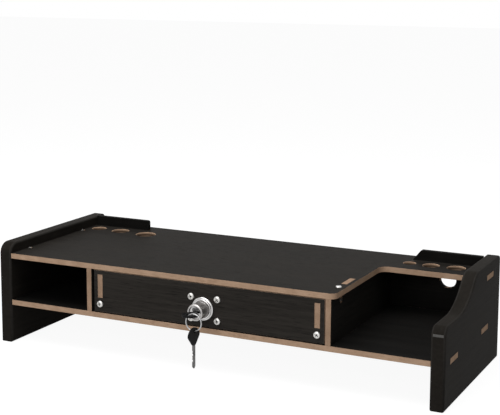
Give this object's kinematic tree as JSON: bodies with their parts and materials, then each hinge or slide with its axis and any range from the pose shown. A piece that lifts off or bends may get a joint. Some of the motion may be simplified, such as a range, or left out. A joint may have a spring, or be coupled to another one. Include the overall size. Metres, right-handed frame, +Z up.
{
  "type": "monitor riser",
  "caption": "Low board riser for a desk: a top with pen holes and rear galleries over a shelf, open bays at its ends and a keyed drawer between them.",
  "frame": {"origin": "centre of the bounding box's base, on the desk", "axes": "+X along the riser towards the cut-away bay, -Y the drawer's front, +Z up"},
  "size_m": [0.54, 0.2438, 0.1183],
  "materials": {
    "black_board": "black laminated board with a fine wood grain and raw tan edges",
    "zinc_screw": "bright zinc plate",
    "steel": "bright steel",
    "chrome": "polished chrome",
    "black_plastic": "satin black moulding"
  },
  "bodies": {
    "case": {"left_side_panel": "black_board", "right_side_panel": "black_board", "top_board": "black_board", "shelf_board": "black_board", "left_divider": "black_board", "right_divider": "black_board", "left_back_panel": "black_board", "middle_back_panel": "black_board", "right_back_panel": "black_board", "corner_screws": "zinc_screw", "divider_screw": "zinc_screw", "divider_nut": "zinc_screw"},
    "drawer": {"drawer_front": "black_board", "drawer_left_side": "black_board", "drawer_right_side": "black_board", "drawer_back": "black_board", "drawer_bottom": "black_board", "drawer_front_screws": "zinc_screw", "drawer_front_nuts": "zinc_screw", "lock_case": "steel", "lock_case_screws": "zinc_screw", "lock_case_nuts": "zinc_screw", "lock_escutcheon": "chrome", "lock_barrel": "chrome"},
    "plug": {"lock_plug": "steel", "lock_crank": "steel"},
    "bolt": {"lock_bolt": "steel"},
    "key": {"key_bow": "black_plastic", "key_blade": "steel"},
    "ring": {"key_ring": "steel"},
    "spare_key": {"spare_key_bow": "black_plastic", "spare_key_blade": "steel"}
  },
  "joints": [
    {"name": "drawer_slide", "type": "slide", "parent": "case", "child": "drawer", "axis": [0, -1, 0], "range_m": [0, 0.15]},
    {"name": "plug_turn", "type": "hinge", "parent": "drawer", "child": "plug", "pos_m": [-0.00085, -0.07981, 0.0724], "axis": [0, 1, 0], "range_deg": [0, 90]},
    {"name": "bolt_lift", "type": "slide", "parent": "drawer", "child": "bolt", "axis": [0, 0, 1], "range_m": [0, 0.0036]},
    {"name": "key_pull", "type": "slide", "parent": "plug", "child": "key", "axis": [0, -1, 0], "range_m": [0, 0.03]},
    {"name": "ring_swing", "type": "hinge", "parent": "key", "child": "ring", "pos_m": [-0.00085, -0.11211, 0.0724], "axis": [0, -1, 0], "range_deg": [0, 90]},
    {"name": "spare_key_swing", "type": "hinge", "parent": "ring", "child": "spare_key", "pos_m": [0.00505, -0.11211, 0.066], "axis": [0, -1, 0], "range_deg": [-60, 100]}
  ],
  "couplings": [
    {"joint": "plug_turn", "follows": "bolt_lift", "rad_per_m": 436.3}
  ]
}
